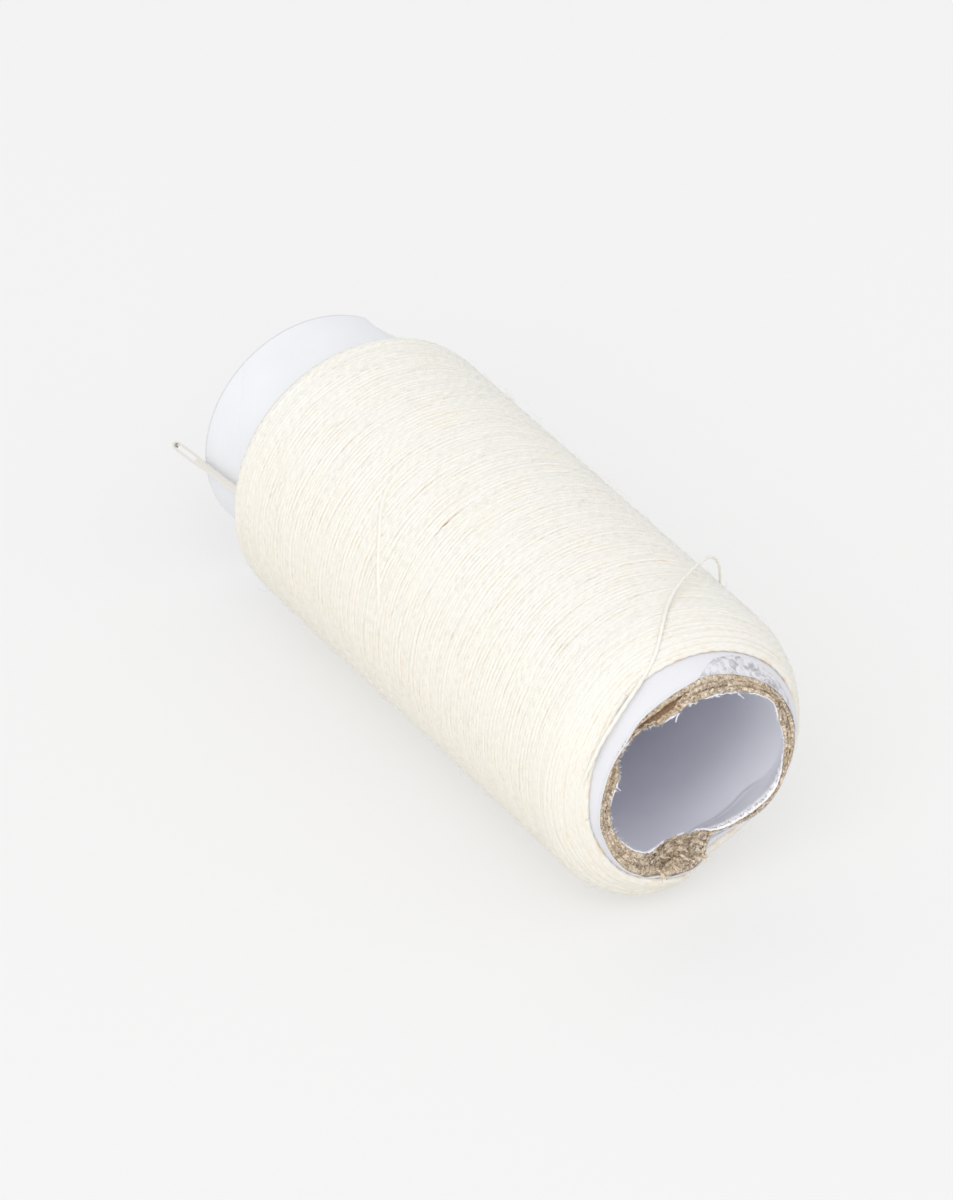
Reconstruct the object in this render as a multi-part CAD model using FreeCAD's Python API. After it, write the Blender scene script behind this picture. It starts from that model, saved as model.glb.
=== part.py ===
"""Spool of sewing thread: a rolled paperboard tube, the thread wound on it, and a needle stored under it.

The spool lies on its side.  Millimetres, +Z up.  The tube runs along Y with its worn end at -Y, and
the origin is on the resting surface under the middle of the tube.
"""
import FreeCAD, Part
import math
import os

from FreeCAD import Vector

# ---------------------------------------------------------------- driving dimensions
TUBE_LENGTH = 56.0
TUBE_RADIUS = 9.0            # outside of the white wrap
PAPER = 0.10                 # thickness of the liner and of the wrap
BOARD_PLY = 0.30             # thickness of each of the three board plies
GLUE_LINE = 0.01             # between one ply and the next
WINDING_GAP = 0.04           # between the wrap and the innermost turns

RIM_TURN_IN = 0.95           # how far the worn rim is rolled inwards
RIM_TURN_DEPTH = 1.9         # and over what length of the tube
WORN_LENGTH = 8.0            # length of the tube in which the worn end runs into the round tube

PACK_RADIUS = 11.05          # outside of the wound thread
PACK_START = 1.85            # from the worn rim to the first turns
PACK_END = 49.6              # from the worn rim to the last turns
SHOULDER_NEAR = 3.6          # length of the winding's rounded shoulder at the worn end
SHOULDER_FAR = 1.6           # and at the other end, where it is steeper
REST_FLAT = 0.12             # how far the underside of the winding is pressed flat

NEEDLE_LENGTH = 38.0
NEEDLE_RADIUS = 0.29
NEEDLE_POINT = 6.0           # length of the tapered point
NEEDLE_SHOWN = 10.4          # length that stands out beyond the winding
NEEDLE_SKEW = 5.8            # degrees: the eye droops below the line of the tube
NEEDLE_CLEARANCE = 0.06      # radial, between the needle and the threads it is tucked under
NEEDLE_OFF_TUBE = 0.25       # between the needle and the wrap
EYE_LENGTH = 3.3
EYE_WIDTH = 0.32
EYE_FROM_END = 0.45
EYE_ROLL = -39.0             # degrees: the eye faces up and away from the tube

STRAND_DIAMETER = 0.4

AXIS_HEIGHT = PACK_RADIUS - REST_FLAT


def station(distance):
    """Y of the plane at this distance behind the worn rim."""
    return distance - TUBE_LENGTH / 2


def on_axis(distance):
    """Point on the tube's axis at this distance behind the worn rim."""
    return Vector(0, station(distance), AXIS_HEIGHT)


def write(name, shape):
    """Write one sub-part as parts/NAME.step."""
    if not shape.isValid():
        raise ValueError(name + " is not a valid solid")
    shape.exportStep(os.path.join("parts", name + ".step"))
    print(f"{name:14s} {shape.Volume:10.3f} mm3, {len(shape.Solids)} solid(s)")


# ---------------------------------------------------------------- the tube's layers
class Surface:
    """One surface of the rolled tube: round, turned in at the worn rim and pressed in at one side.

    From the outside of the tube to its bore the dent grows, swings further down the rim and reaches
    further in, because the inner plies have come away there and curl into the bore.
    """

    STATIONS = (0.0, 0.5, 1.1, 1.9, 2.7, 3.7, 5.0, 6.5)
    POINTS = 32

    def __init__(self, radius):
        inwards = (TUBE_RADIUS - radius) / (2 * PAPER + 3 * BOARD_PLY)
        self.radius = radius
        self.dent_depth = 1.8 + 0.4 * inwards
        self.dent_angle = math.radians(-66 - 14 * inwards)
        self.dent_half_width = math.radians(58 + 8 * inwards)
        self.dent_reach = 4.5 + 3.0 * inwards

    def radius_at(self, distance, angle):
        turn_in = RIM_TURN_IN * (1 - min(distance / RIM_TURN_DEPTH, 1)) ** 2
        away = abs(math.remainder(angle - self.dent_angle, 2 * math.pi))
        across = math.cos(math.pi / 2 * min(away / self.dent_half_width, 1)) ** 2
        along = (1 - min(distance / self.dent_reach, 1)) ** 2
        return self.radius - turn_in - self.dent_depth * across * along

    def section(self, distance):
        """Closed outline of this surface at one distance behind the worn rim."""
        points = []
        for index in range(self.POINTS):
            angle = 2 * math.pi * index / self.POINTS
            reach = self.radius_at(distance, angle)
            points.append(on_axis(distance) + Vector(reach * math.cos(angle), 0, reach * math.sin(angle)))
        outline = Part.BSplineCurve()
        outline.interpolate(Points=points, PeriodicFlag=True)
        return Part.Wire([outline.toShape()])

    def round_section(self):
        """The exact circle in which the worn end runs into the straight tube."""
        circle = Part.Circle(on_axis(WORN_LENGTH), Vector(0, -1, 0), self.radius)
        return Part.Wire([circle.toShape()])

    def core(self):
        """Everything inside this surface, as one solid from rim to rim."""
        outlines = [self.section(distance) for distance in self.STATIONS] + [self.round_section()]
        worn_end = Part.makeLoft(outlines, True, False)
        straight = Part.makeCylinder(
            self.radius, TUBE_LENGTH - WORN_LENGTH, on_axis(WORN_LENGTH), Vector(0, 1, 0)
        )
        return worn_end.fuse(straight)


def make_layers():
    """The glued layers of the tube, from its bore outwards."""
    names = ["inner_liner", "inner_ply", "middle_ply", "outer_ply", "outer_wrap"]
    thicknesses = [PAPER, BOARD_PLY, BOARD_PLY, BOARD_PLY, PAPER]
    bore = TUBE_RADIUS - sum(thicknesses)
    layers = {}
    inner = bore
    for name, thickness in zip(names, thicknesses):
        outer = inner + thickness
        gap = GLUE_LINE / 2
        inside = Surface(inner + (gap if inner > bore else 0)).core()
        outside = Surface(outer - (gap if name != "outer_wrap" else 0)).core()
        layers[name] = outside.cut(inside)
        inner = outer
    return layers


# ---------------------------------------------------------------- the winding and the needle
def needle_line():
    """Where the needle's eye end is, and the direction in which it pulls out."""
    pull = Vector(0, math.cos(math.radians(NEEDLE_SKEW)), -math.sin(math.radians(NEEDLE_SKEW)))
    beside_tube = TUBE_RADIUS + NEEDLE_OFF_TUBE + NEEDLE_RADIUS
    entry = on_axis(PACK_END) + Vector(-beside_tube, 0, 0.25)
    return entry + pull * NEEDLE_SHOWN, pull


def make_winding():
    """The wound thread as one round body with rounded shoulders, flat where it rests."""
    inside = TUBE_RADIUS + WINDING_GAP
    rise = PACK_RADIUS - inside
    lean = math.sin(math.radians(45))

    def at(distance, radius):
        return on_axis(distance) + Vector(radius, 0, 0)

    near_top = PACK_START + SHOULDER_NEAR
    far_top = PACK_END - SHOULDER_FAR
    # The near shoulder is an arc that runs level into the top of the winding.
    near_arc = (SHOULDER_NEAR ** 2 + rise ** 2) / (2 * rise)
    near_middle = PACK_RADIUS - near_arc + math.sqrt(near_arc ** 2 - (SHOULDER_NEAR / 2) ** 2)
    outline = Part.Wire([
        Part.LineSegment(at(PACK_END, inside), at(PACK_START, inside)).toShape(),
        Part.Arc(
            at(PACK_START, inside),
            at(near_top - SHOULDER_NEAR / 2, near_middle),
            at(near_top, PACK_RADIUS),
        ).toShape(),
        Part.LineSegment(at(near_top, PACK_RADIUS), at(far_top, PACK_RADIUS)).toShape(),
        Part.Arc(
            at(far_top, PACK_RADIUS),
            at(far_top + SHOULDER_FAR * lean, inside + rise * lean),
            at(PACK_END, inside),
        ).toShape(),
    ])
    pack = Part.Face(outline).revolve(on_axis(0), Vector(0, 1, 0), 360)
    pressed = Part.makeBox(
        4 * PACK_RADIUS, 2 * TUBE_LENGTH, PACK_RADIUS, Vector(-2 * PACK_RADIUS, -TUBE_LENGTH, -PACK_RADIUS)
    )
    eye_end, pull = needle_line()
    channel = Part.makeCylinder(
        NEEDLE_RADIUS + NEEDLE_CLEARANCE, NEEDLE_LENGTH + NEEDLE_CLEARANCE, eye_end, pull * -1
    )
    return pack.cut(pressed).cut(channel)


def make_needle():
    """Steel needle: a round shaft, a long point, and a flattened head with a slotted eye."""
    # Built along -Z with the eye end at the origin and the eye facing along X, then laid in place.
    head_length = EYE_LENGTH + 2.6
    shaft_end = NEEDLE_LENGTH - NEEDLE_POINT
    shaft = Part.makeCylinder(
        NEEDLE_RADIUS, shaft_end - head_length, Vector(0, 0, -head_length), Vector(0, 0, -1)
    )
    point = Part.Wire([
        Part.LineSegment(Vector(0, 0, -shaft_end), Vector(NEEDLE_RADIUS, 0, -shaft_end)).toShape(),
        Part.Arc(
            Vector(NEEDLE_RADIUS, 0, -shaft_end),
            Vector(0.64 * NEEDLE_RADIUS, 0, -shaft_end - 0.6 * NEEDLE_POINT),
            Vector(0.06 * NEEDLE_RADIUS, 0, -NEEDLE_LENGTH),
        ).toShape(),
        Part.LineSegment(
            Vector(0.06 * NEEDLE_RADIUS, 0, -NEEDLE_LENGTH), Vector(0, 0, -NEEDLE_LENGTH)
        ).toShape(),
        Part.LineSegment(Vector(0, 0, -NEEDLE_LENGTH), Vector(0, 0, -shaft_end)).toShape(),
    ])
    point = Part.Face(point).revolve(Vector(0, 0, 0), Vector(0, 0, 1), 360)

    # (distance from the eye end, half width across the eye, half thickness)
    head_sections = [(0.0, 0.13, 0.10), (0.12, 0.23, 0.17), (0.4, 0.33, 0.22), (1.2, 0.365, 0.23),
                     (EYE_LENGTH, 0.36, 0.23), (EYE_LENGTH + 1.3, 0.31, 0.26)]
    outlines = []
    for distance, half_width, half_thickness in head_sections:
        ellipse = Part.Ellipse(
            Vector(0, half_width, -distance), Vector(half_thickness, 0, -distance), Vector(0, 0, -distance)
        )
        outlines.append(Part.Wire([ellipse.toShape()]))
    joint = Part.Circle(Vector(0, 0, -head_length), Vector(0, 0, 1), NEEDLE_RADIUS).toShape()
    joint.rotate(Vector(0, 0, 0), Vector(0, 0, 1), 90)
    outlines.append(Part.Wire([joint]))
    head = Part.makeLoft(outlines, True, True)

    slot_straight = EYE_LENGTH - EYE_WIDTH
    slot = Part.makeBox(
        2, EYE_WIDTH, slot_straight,
        Vector(-1, -EYE_WIDTH / 2, -EYE_FROM_END - EYE_WIDTH / 2 - slot_straight)
    )
    for offset in (0, slot_straight):
        end = Vector(-1, 0, -EYE_FROM_END - EYE_WIDTH / 2 - offset)
        slot = slot.fuse(Part.makeCylinder(EYE_WIDTH / 2, 2, end, Vector(1, 0, 0)))

    needle = head.fuse(shaft).fuse(point).cut(slot)
    eye_end, pull = needle_line()
    needle.rotate(Vector(0, 0, 0), Vector(0, 0, 1), 90 + EYE_ROLL)
    needle.rotate(Vector(0, 0, 0), Vector(1, 0, 0), -90 - NEEDLE_SKEW)
    needle.translate(eye_end)
    return needle


# ---------------------------------------------------------------- the loose strand
# The thread's free end comes out of the winding, stands up in a small loop, lies across the winding
# to the worn end, and follows the edge of the winding round until it goes back under the last turns.
STRAND_ROUTE = [
    (9.0, -15.2, 15.9),
    (8.9, -15.6, 18.1),
    (8.1, -16.5, 20.2),
    (6.6, -17.8, 21.7),
    (4.9, -19.0, 22.1),
    (2.9, -20.5, 22.4),
    (1.4, -21.6, 22.3),
    (0.1, -22.9, 22.2),
    (-0.9, -24.1, 21.9),
    (-1.7, -25.0, 21.3),
    (-2.5, -25.8, 20.6),
    (-3.38, -26.2, 19.72),
    (-4.64, -26.8, 18.97),
    (-5.73, -27.1, 18.13),
    (-6.8, -27.3, 17.05),
    (-7.76, -27.3, 15.78),
    (-8.42, -27.3, 14.51),
    (-9.05, -27.0, 12.85),
    (-9.29, -26.9, 11.25),
]


def bend_radii(points, smallest):
    """Radius of the arc at each inner point of a route: as large as its two runs allow."""
    radii = []
    for before, at, after in zip(points, points[1:], points[2:]):
        arriving = at - before
        leaving = after - at
        turn = arriving.getAngle(leaving)
        radius = 0.45 * min(arriving.Length, leaving.Length) / math.tan(turn / 2)
        if radius < smallest:
            raise ValueError(f"bend of {radius:.2f} mm at {tuple(at)} is too tight")
        radii.append(radius)
    return radii


def make_strand(points, diameter):
    """A round strand along straight runs that are joined by tangent arcs."""
    radii = bend_radii(points, 3 * diameter)
    print("loose_strand radii:", " ".join(f"{radius:.1f}" for radius in radii))
    edges = []
    start = points[0]
    for before, at, after, radius in zip(points, points[1:], points[2:], radii):
        arriving = (at - before).normalize()
        leaving = (after - at).normalize()
        turn = arriving.getAngle(leaving)
        cut_back = radius * math.tan(turn / 2)
        first = at - arriving * cut_back
        last = at + leaving * cut_back
        inwards = (leaving - arriving).normalize()
        middle = at + inwards * (radius / math.cos(turn / 2) - radius)
        edges.append(Part.LineSegment(start, first).toShape())
        edges.append(Part.Arc(first, middle, last).toShape())
        start = last
    edges.append(Part.LineSegment(start, points[-1]).toShape())
    path = Part.Wire(edges)
    section = Part.Wire([Part.Circle(points[0], points[1] - points[0], diameter / 2).toShape()])
    strand = path.makePipeShell([section], True, False)
    expected = math.pi * diameter ** 2 / 4 * path.Length
    print(f"loose_strand length {path.Length:.1f} mm, volume {strand.Volume:.3f} of {expected:.3f} mm3")
    return strand


def main():
    os.makedirs("parts", exist_ok=True)
    for name, shape in make_layers().items():
        write(name, shape)
    write("wound_thread", make_winding())
    write("needle", make_needle())
    route = [Vector(*point) for point in STRAND_ROUTE]
    write("loose_strand", make_strand(route, STRAND_DIAMETER))


main()
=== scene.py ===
"""Spool of sewing thread lying on its side: a rolled paper tube, the thread wound on it, and a needle.

Metres, +Z up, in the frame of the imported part.  The tube runs along Y with its worn end at -Y.
Places on the spool are given as a distance behind the worn rim and an angle round the tube, which
starts at +X and passes +Z at a quarter turn.
"""

import math
import random

import bpy
import numpy as np
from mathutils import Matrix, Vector, noise


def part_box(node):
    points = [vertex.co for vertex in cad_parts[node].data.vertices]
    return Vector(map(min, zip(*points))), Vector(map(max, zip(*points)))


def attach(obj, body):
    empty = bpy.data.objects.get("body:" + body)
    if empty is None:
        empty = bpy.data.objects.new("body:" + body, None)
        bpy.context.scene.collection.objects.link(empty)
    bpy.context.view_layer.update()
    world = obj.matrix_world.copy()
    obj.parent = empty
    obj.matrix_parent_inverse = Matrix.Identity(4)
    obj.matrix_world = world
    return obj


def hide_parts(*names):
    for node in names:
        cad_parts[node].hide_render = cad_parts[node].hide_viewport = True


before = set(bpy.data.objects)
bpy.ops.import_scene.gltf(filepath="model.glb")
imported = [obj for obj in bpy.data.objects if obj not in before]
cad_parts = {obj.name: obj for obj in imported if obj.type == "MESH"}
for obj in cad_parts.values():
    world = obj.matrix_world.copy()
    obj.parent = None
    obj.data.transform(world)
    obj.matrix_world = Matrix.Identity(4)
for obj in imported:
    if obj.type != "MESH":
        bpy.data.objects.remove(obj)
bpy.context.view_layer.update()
bpy.ops.object.select_all(action="DESELECT")

MM = 0.001

# ---------------------------------------------------------------- the camera
# A long lens looks down on the spool from its worn end, so that the bore, the whole winding and the
# needle at the far end are in view.
VIEW_TURN = math.radians(-29.77)
VIEW_HEIGHT = math.radians(31.36)
VIEW_DISTANCE = 800 * MM
VIEWED_POINT = Vector((4.7, 11.9, 2.9)) * MM

level = math.cos(VIEW_HEIGHT)
backwards = Vector((math.sin(VIEW_TURN) * level, -math.cos(VIEW_TURN) * level, math.sin(VIEW_HEIGHT)))
bpy.ops.object.camera_add(
    location=VIEWED_POINT + VIEW_DISTANCE * backwards,
    rotation=(-backwards).to_track_quat("-Z", "Y").to_euler(),
)
camera = bpy.context.object
camera.name = "camera"
camera.data.sensor_width = 24
camera.data.lens = 218.5
camera.data.clip_start = 50 * MM
camera.data.clip_end = 20
bpy.context.scene.camera = camera

# ---------------------------------------------------------------- the loose strand
# The free end of the two-ply spun thread.  It comes out of the winding, stands up in a small loop,
# lies across to the worn end and follows the edge of the winding until it goes under the last turns.
STRAND_DIAMETER = 0.3
STRAND_ROUTE = [
    (9.0, -15.2, 15.9),
    (8.9, -15.6, 18.1),
    (8.1, -16.5, 20.2),
    (6.6, -17.8, 21.7),
    (4.9, -19.0, 22.1),
    (2.9, -20.5, 22.4),
    (1.4, -21.6, 22.3),
    (0.1, -22.9, 22.2),
    (-0.9, -24.1, 21.9),
    (-1.7, -25.0, 21.3),
    (-2.5, -25.8, 20.6),
    (-3.38, -26.2, 19.72),
    (-4.64, -26.8, 18.97),
    (-5.73, -27.1, 18.13),
    (-6.8, -27.3, 17.05),
    (-7.76, -27.3, 15.78),
    (-8.42, -27.3, 14.51),
    (-9.05, -27.0, 12.85),
    (-9.29, -26.9, 11.25),
]

wrap_low, wrap_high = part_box("outer_wrap")
TUBE_LENGTH = (wrap_high.y - wrap_low.y) / MM
WORN_RIM = wrap_low.y / MM
AXIS_HEIGHT = (wrap_high.z + wrap_low.z) / 2 / MM


def on_spool(distance, angle, radius):
    """Points, in millimetres, at a distance behind the worn rim, an angle in radians and a radius."""
    distance, angle, radius = np.broadcast_arrays(distance, angle, radius)
    return np.stack(
        [radius * np.cos(angle), WORN_RIM + distance, AXIS_HEIGHT + radius * np.sin(angle)], axis=-1
    )


def srgb(code):
    """Linear colour of an sRGB hex code."""
    shares = [int(code[start:start + 2], 16) / 255 for start in (1, 3, 5)]
    linear = [share / 12.92 if share <= 0.04045 else ((share + 0.055) / 1.055) ** 2.4 for share in shares]
    return (*linear, 1.0)


def add_node(tree, kind, inputs=None, **settings):
    """Add a node with its settings.  An input is a value, or a node and its output to link from."""
    node = tree.nodes.new(kind)
    for name, value in settings.items():
        setattr(node, name, value)
    for socket, value in (inputs or {}).items():
        if isinstance(value, tuple) and isinstance(value[0], bpy.types.Node):
            tree.links.new(value[0].outputs[value[1]], node.inputs[socket])
        else:
            node.inputs[socket].default_value = value
    return node


def new_material(name):
    """A new material with its node tree emptied."""
    material = bpy.data.materials.new(name)
    material.use_nodes = True
    material.node_tree.nodes.clear()
    return material, material.node_tree


def rolled_grid(name, points, attributes=None, capped=False):
    """A closed mesh from a grid that is rolled up until its edges meet, where they are merged.

    points has the grid's places in millimetres: rows, then columns, then x, y, z.
    """
    rows, columns = points.shape[:2]
    bpy.ops.object.select_all(action="DESELECT")
    bpy.ops.mesh.primitive_grid_add(x_subdivisions=columns - 1, y_subdivisions=rows - 1)
    piece = bpy.context.object
    piece.name = name
    piece.data.name = name
    piece.data.vertices.foreach_set("co", (points * MM).astype(np.float32).ravel())
    for label, values in (attributes or {}).items():
        layer = piece.data.attributes.new(label, "FLOAT", "POINT")
        spread = np.broadcast_to(values, (rows, columns)).astype(np.float32)
        layer.data.foreach_set("value", spread.ravel())
    piece.data.update()
    bpy.ops.object.mode_set(mode="EDIT")
    bpy.ops.mesh.select_mode(type="VERT")
    bpy.ops.mesh.select_all(action="SELECT")
    bpy.ops.mesh.remove_doubles(threshold=1e-6)
    if capped:
        bpy.ops.mesh.select_all(action="DESELECT")
        bpy.ops.mesh.select_non_manifold()
        bpy.ops.mesh.fill_holes(sides=0)
    bpy.ops.object.mode_set(mode="OBJECT")
    bpy.ops.object.shade_smooth()
    return piece


PLY_LAY = 1.9                 # length in which the two plies turn once round each other
PLY_SWELL = 0.14              # how far two plies together are from a round thread, as a share
SECTION_STEP = 0.24           # length of thread between two sections of its mesh
SECTION_POINTS = 6


def spun_thread(name, centres, diameter, first_turn=0.0, slimness=1.0, valley_shaded=True):
    """Two plies twisted into one thread along centres, in millimetres, with its fibres' places.

    A thread among others has painted shade where its crest is low: 1 at the outside of the winding, 0
    beneath.
    """
    lengths = np.concatenate([[0], np.cumsum(np.linalg.norm(np.diff(centres, axis=0), axis=1))])
    along = np.gradient(centres, axis=0)
    along /= np.linalg.norm(along, axis=1)[:, None]
    outwards = centres - np.array([0, 0, AXIS_HEIGHT])
    outwards[:, 1] = 0
    outwards -= np.sum(outwards * along, axis=1)[:, None] * along
    outwards /= np.linalg.norm(outwards, axis=1)[:, None]
    sideways = np.cross(along, outwards)
    round_section = np.linspace(0, 2 * math.pi, SECTION_POINTS + 1)[None, :]
    twist = (first_turn + lengths / PLY_LAY * 2 * math.pi)[:, None]
    reach = diameter / 2 * (1 + PLY_SWELL * np.cos(2 * (round_section - twist)))
    reach[:, -1] = reach[:, 0]
    reach = reach * np.reshape(slimness, (-1, 1))
    around = (
        np.cos(round_section)[..., None] * outwards[:, None]
        + np.sin(round_section)[..., None] * sideways[:, None]
    )
    around[:, -1] = around[:, 0]
    points = centres[:, None] + reach[..., None] * around
    facts = {
        "crest": 0.5 + 0.5 * np.cos(round_section) if valley_shaded else np.ones_like(round_section),
        "fibre_along": lengths[:, None],
        "fibre_across": (round_section - twist) * diameter / 2,
    }
    return rolled_grid(name, points, facts, capped=True)


# Spun polyester-cotton sewing thread, undyed cream with a soft sheen.  Its twisted fibres catch the light
# one by one.
# In the valleys between two threads the colour is painted warmer: painted shade and bounce light.
FIBRE_WIDTH = 0.07            # real fibres are a fifth of this, too fine to show
FIBRE_LENGTH = 0.9
FIBRE_RELIEF = 0.03
SLUBS_PER_MM = 0.22
DASH_LENGTH = 1.8
YELLOWER_FROM = -8.5              # towards the lower left the thread is coloured yellower: from here on the slope towards it, up to here, where it is yellowest
YELLOWER_TO = 2.0                 # up to here, where it is yellowest
TIGHT_FROM = -23.0            # towards the worn end, from here
TIGHT_TO = -25.5              # to here, the turns have slid together
cream_thread, tree = new_material("cream_spun_thread")
crest = add_node(tree, "ShaderNodeAttribute", attribute_name="crest")
fibre_along = add_node(tree, "ShaderNodeAttribute", attribute_name="fibre_along")
fibre_across = add_node(tree, "ShaderNodeAttribute", attribute_name="fibre_across")
fibre_place = add_node(
    tree, "ShaderNodeCombineXYZ", {"X": (fibre_along, "Fac"), "Y": (fibre_across, "Fac")}
)
fibre_scale = add_node(
    tree, "ShaderNodeMapping",
    {"Vector": (fibre_place, "Vector"), "Scale": (1 / FIBRE_LENGTH, 1 / FIBRE_WIDTH, 1)},
)
fibres = add_node(
    tree, "ShaderNodeTexNoise",
    {"Vector": (fibre_scale, "Vector"), "Scale": 1.0, "Detail": 3.0, "Roughness": 0.6},
)
slubs = add_node(
    tree, "ShaderNodeTexNoise",
    {"Vector": (fibre_place, "Vector"), "Scale": SLUBS_PER_MM, "Detail": 2.0},
)
# Painted shade: the lower the crest, the more the colour turns to the warm colour painted in the gaps.
valley_shade = add_node(
    tree, "ShaderNodeMapRange",
    {"Value": (crest, "Fac"), "From Min": 0.35, "From Max": 0.88, "To Min": 1.0, "To Max": 0.0},
)
fibre_colour = add_node(
    tree, "ShaderNodeMix", {0: (fibres, "Fac"), 6: srgb("#e9e6dc"), 7: srgb("#f7f6f2")},
    data_type="RGBA",
)
slub_share = add_node(
    tree, "ShaderNodeMapRange",
    {"Value": (slubs, "Fac"), "From Min": 0.50, "From Max": 0.75, "To Max": 0.5},
)
place = add_node(tree, "ShaderNodeTexCoord")
# Towards the lower left the thread is coloured yellower.
underside = add_node(
    tree, "ShaderNodeVectorMath", {0: (place, "Object"), 1: (-0.7, 0.0, -0.7)}, operation="DOT_PRODUCT"
)
lower_left_yellow = add_node(
    tree, "ShaderNodeMapRange",
    {"Value": (underside, "Value"), "From Min": YELLOWER_FROM * MM, "From Max": YELLOWER_TO * MM, "To Max": 0.45},
)
yellow_share = add_node(
    tree, "ShaderNodeMath", {0: (slub_share, "Result"), 1: (lower_left_yellow, "Result")}, operation="MAXIMUM"
)
yellower_colour = add_node(
    tree, "ShaderNodeMix", {0: (yellow_share, "Value"), 6: (fibre_colour, 2), 7: srgb("#f3ebd8")},
    data_type="RGBA",
)
# Short ochre dashes of painted shade, where a length of thread stands off its neighbour.
dash_scale = add_node(
    tree, "ShaderNodeMapping", {"Vector": (fibre_place, "Vector"), "Scale": (1 / DASH_LENGTH, 0, 0)}
)
dashes = add_node(
    tree, "ShaderNodeTexNoise", {"Vector": (dash_scale, "Vector"), "Scale": 1.0, "Detail": 1.0}
)
dash_share = add_node(
    tree, "ShaderNodeMapRange", {"Value": (dashes, "Fac"), "From Min": 0.50, "From Max": 0.58}
)
gap_shade_colour = add_node(
    tree, "ShaderNodeMix", {0: (dash_share, "Result"), 6: srgb("#f4f0e5"), 7: srgb("#ebc78c")},
    data_type="RGBA",
)
# Where the turns have slid together their gaps are too tight to look warm, so their painted shade is paler.
places = add_node(tree, "ShaderNodeSeparateXYZ", {"Vector": (place, "Object")})
at_foot = add_node(
    tree, "ShaderNodeMapRange",
    {"Value": (places, "Y"), "From Min": TIGHT_FROM * MM, "From Max": TIGHT_TO * MM, "To Max": 0.6},
)
foot_colour = add_node(
    tree, "ShaderNodeMix", {0: (at_foot, "Result"), 6: (gap_shade_colour, 2), 7: srgb("#f3f0e8")},
    data_type="RGBA",
)
valley_colour = add_node(
    tree, "ShaderNodeMix", {0: (valley_shade, "Result"), 6: (yellower_colour, 2), 7: (foot_colour, 2)},
    data_type="RGBA",
)
fibre_bump = add_node(
    tree, "ShaderNodeBump", {"Height": (fibres, "Fac"), "Strength": 0.5, "Distance": FIBRE_RELIEF * MM}
)
thread_finish = add_node(
    tree, "ShaderNodeBsdfPrincipled",
    {"Base Color": (valley_colour, 2), "Normal": (fibre_bump, "Normal"), "Roughness": 0.48,
     "IOR": 1.53, "Sheen Weight": 0.35, "Sheen Roughness": 0.4},
)
add_node(tree, "ShaderNodeOutputMaterial", {"Surface": (thread_finish, "BSDF")})

route = bpy.data.curves.new("strand_route", "CURVE")
route.dimensions = "3D"
route.resolution_u = 24
line = route.splines.new("NURBS")
line.points.add(len(STRAND_ROUTE) - 1)
for control, place in zip(line.points, STRAND_ROUTE):
    control.co = (*(Vector(place) * MM), 1)
line.order_u = 3
line.use_endpoint_u = True
route_object = bpy.data.objects.new("strand_route", route)
bpy.context.scene.collection.objects.link(route_object)
route_mesh = bpy.data.meshes.new_from_object(route_object)
strand_path = [vertex.co.copy() for vertex in route_mesh.vertices]
bpy.data.objects.remove(route_object)
bpy.data.meshes.remove(route_mesh)

strand_line = np.array(strand_path) / MM
strand_reach = np.concatenate([[0], np.cumsum(np.linalg.norm(np.diff(strand_line, axis=0), axis=1))])
strand_length = strand_reach[-1]
STRAND_STEP = 0.12
along_strand = np.linspace(0, strand_length, int(strand_length / STRAND_STEP))
strand_centres = np.stack(
    [np.interp(along_strand, strand_reach, strand_line[:, axis]) for axis in range(3)], axis=1
)
# The loop has lost some of its fibres, so it is slimmer than the rest of the strand.
LOOP_SLIMNESS = 0.72
LOOP_LENGTH = 8
SLIMMING_LENGTH = 6
frayed = LOOP_SLIMNESS + (1 - LOOP_SLIMNESS) * np.clip((along_strand - LOOP_LENGTH) / SLIMMING_LENGTH, 0, 1)
loose_strand = spun_thread("loose_thread", strand_centres, STRAND_DIAMETER, slimness=frayed, valley_shaded=False)
loose_strand.data.materials.append(cream_thread)
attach(loose_strand, "spool")
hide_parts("loose_strand")

# ---------------------------------------------------------------- the floor and the light
# A translucent white table, lit from below, under a broad soft light from the front left, with white
# walls all round, so that the shadows are faint and have no edges.
bpy.ops.object.select_all(action="DESELECT")
bpy.ops.mesh.primitive_plane_add(size=12)
floor = bpy.context.object
floor.name = "floor"
white_table, tree = new_material("lit_white_acrylic_table")
table_finish = add_node(
    tree, "ShaderNodeBsdfPrincipled",
    {"Base Color": srgb("#ababab"), "Roughness": 0.9, "Specular IOR Level": 0.1,
     "Emission Color": srgb("#ffffff"), "Emission Strength": 0.465},
)
add_node(tree, "ShaderNodeOutputMaterial", {"Surface": (table_finish, "BSDF")})
floor.data.materials.append(white_table)

studio = bpy.data.worlds.new("studio")
studio.use_nodes = True
studio.node_tree.nodes.clear()
walls = add_node(studio.node_tree, "ShaderNodeBackground", {"Color": srgb("#ffffff"), "Strength": 0.88})
add_node(studio.node_tree, "ShaderNodeOutputWorld", {"Surface": (walls, "Background")})
bpy.context.scene.world = studio
bpy.context.scene.view_settings.view_transform = "Standard"

SOFTBOX_PLACE = Vector((-0.50, -0.56, 0.63))
bpy.ops.object.light_add(
    type="AREA", location=SOFTBOX_PLACE, rotation=SOFTBOX_PLACE.to_track_quat("Z", "Y").to_euler()
)
softbox = bpy.context.object
softbox.name = "softbox"
softbox.data.size = 0.8
softbox.data.energy = 3.6

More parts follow.
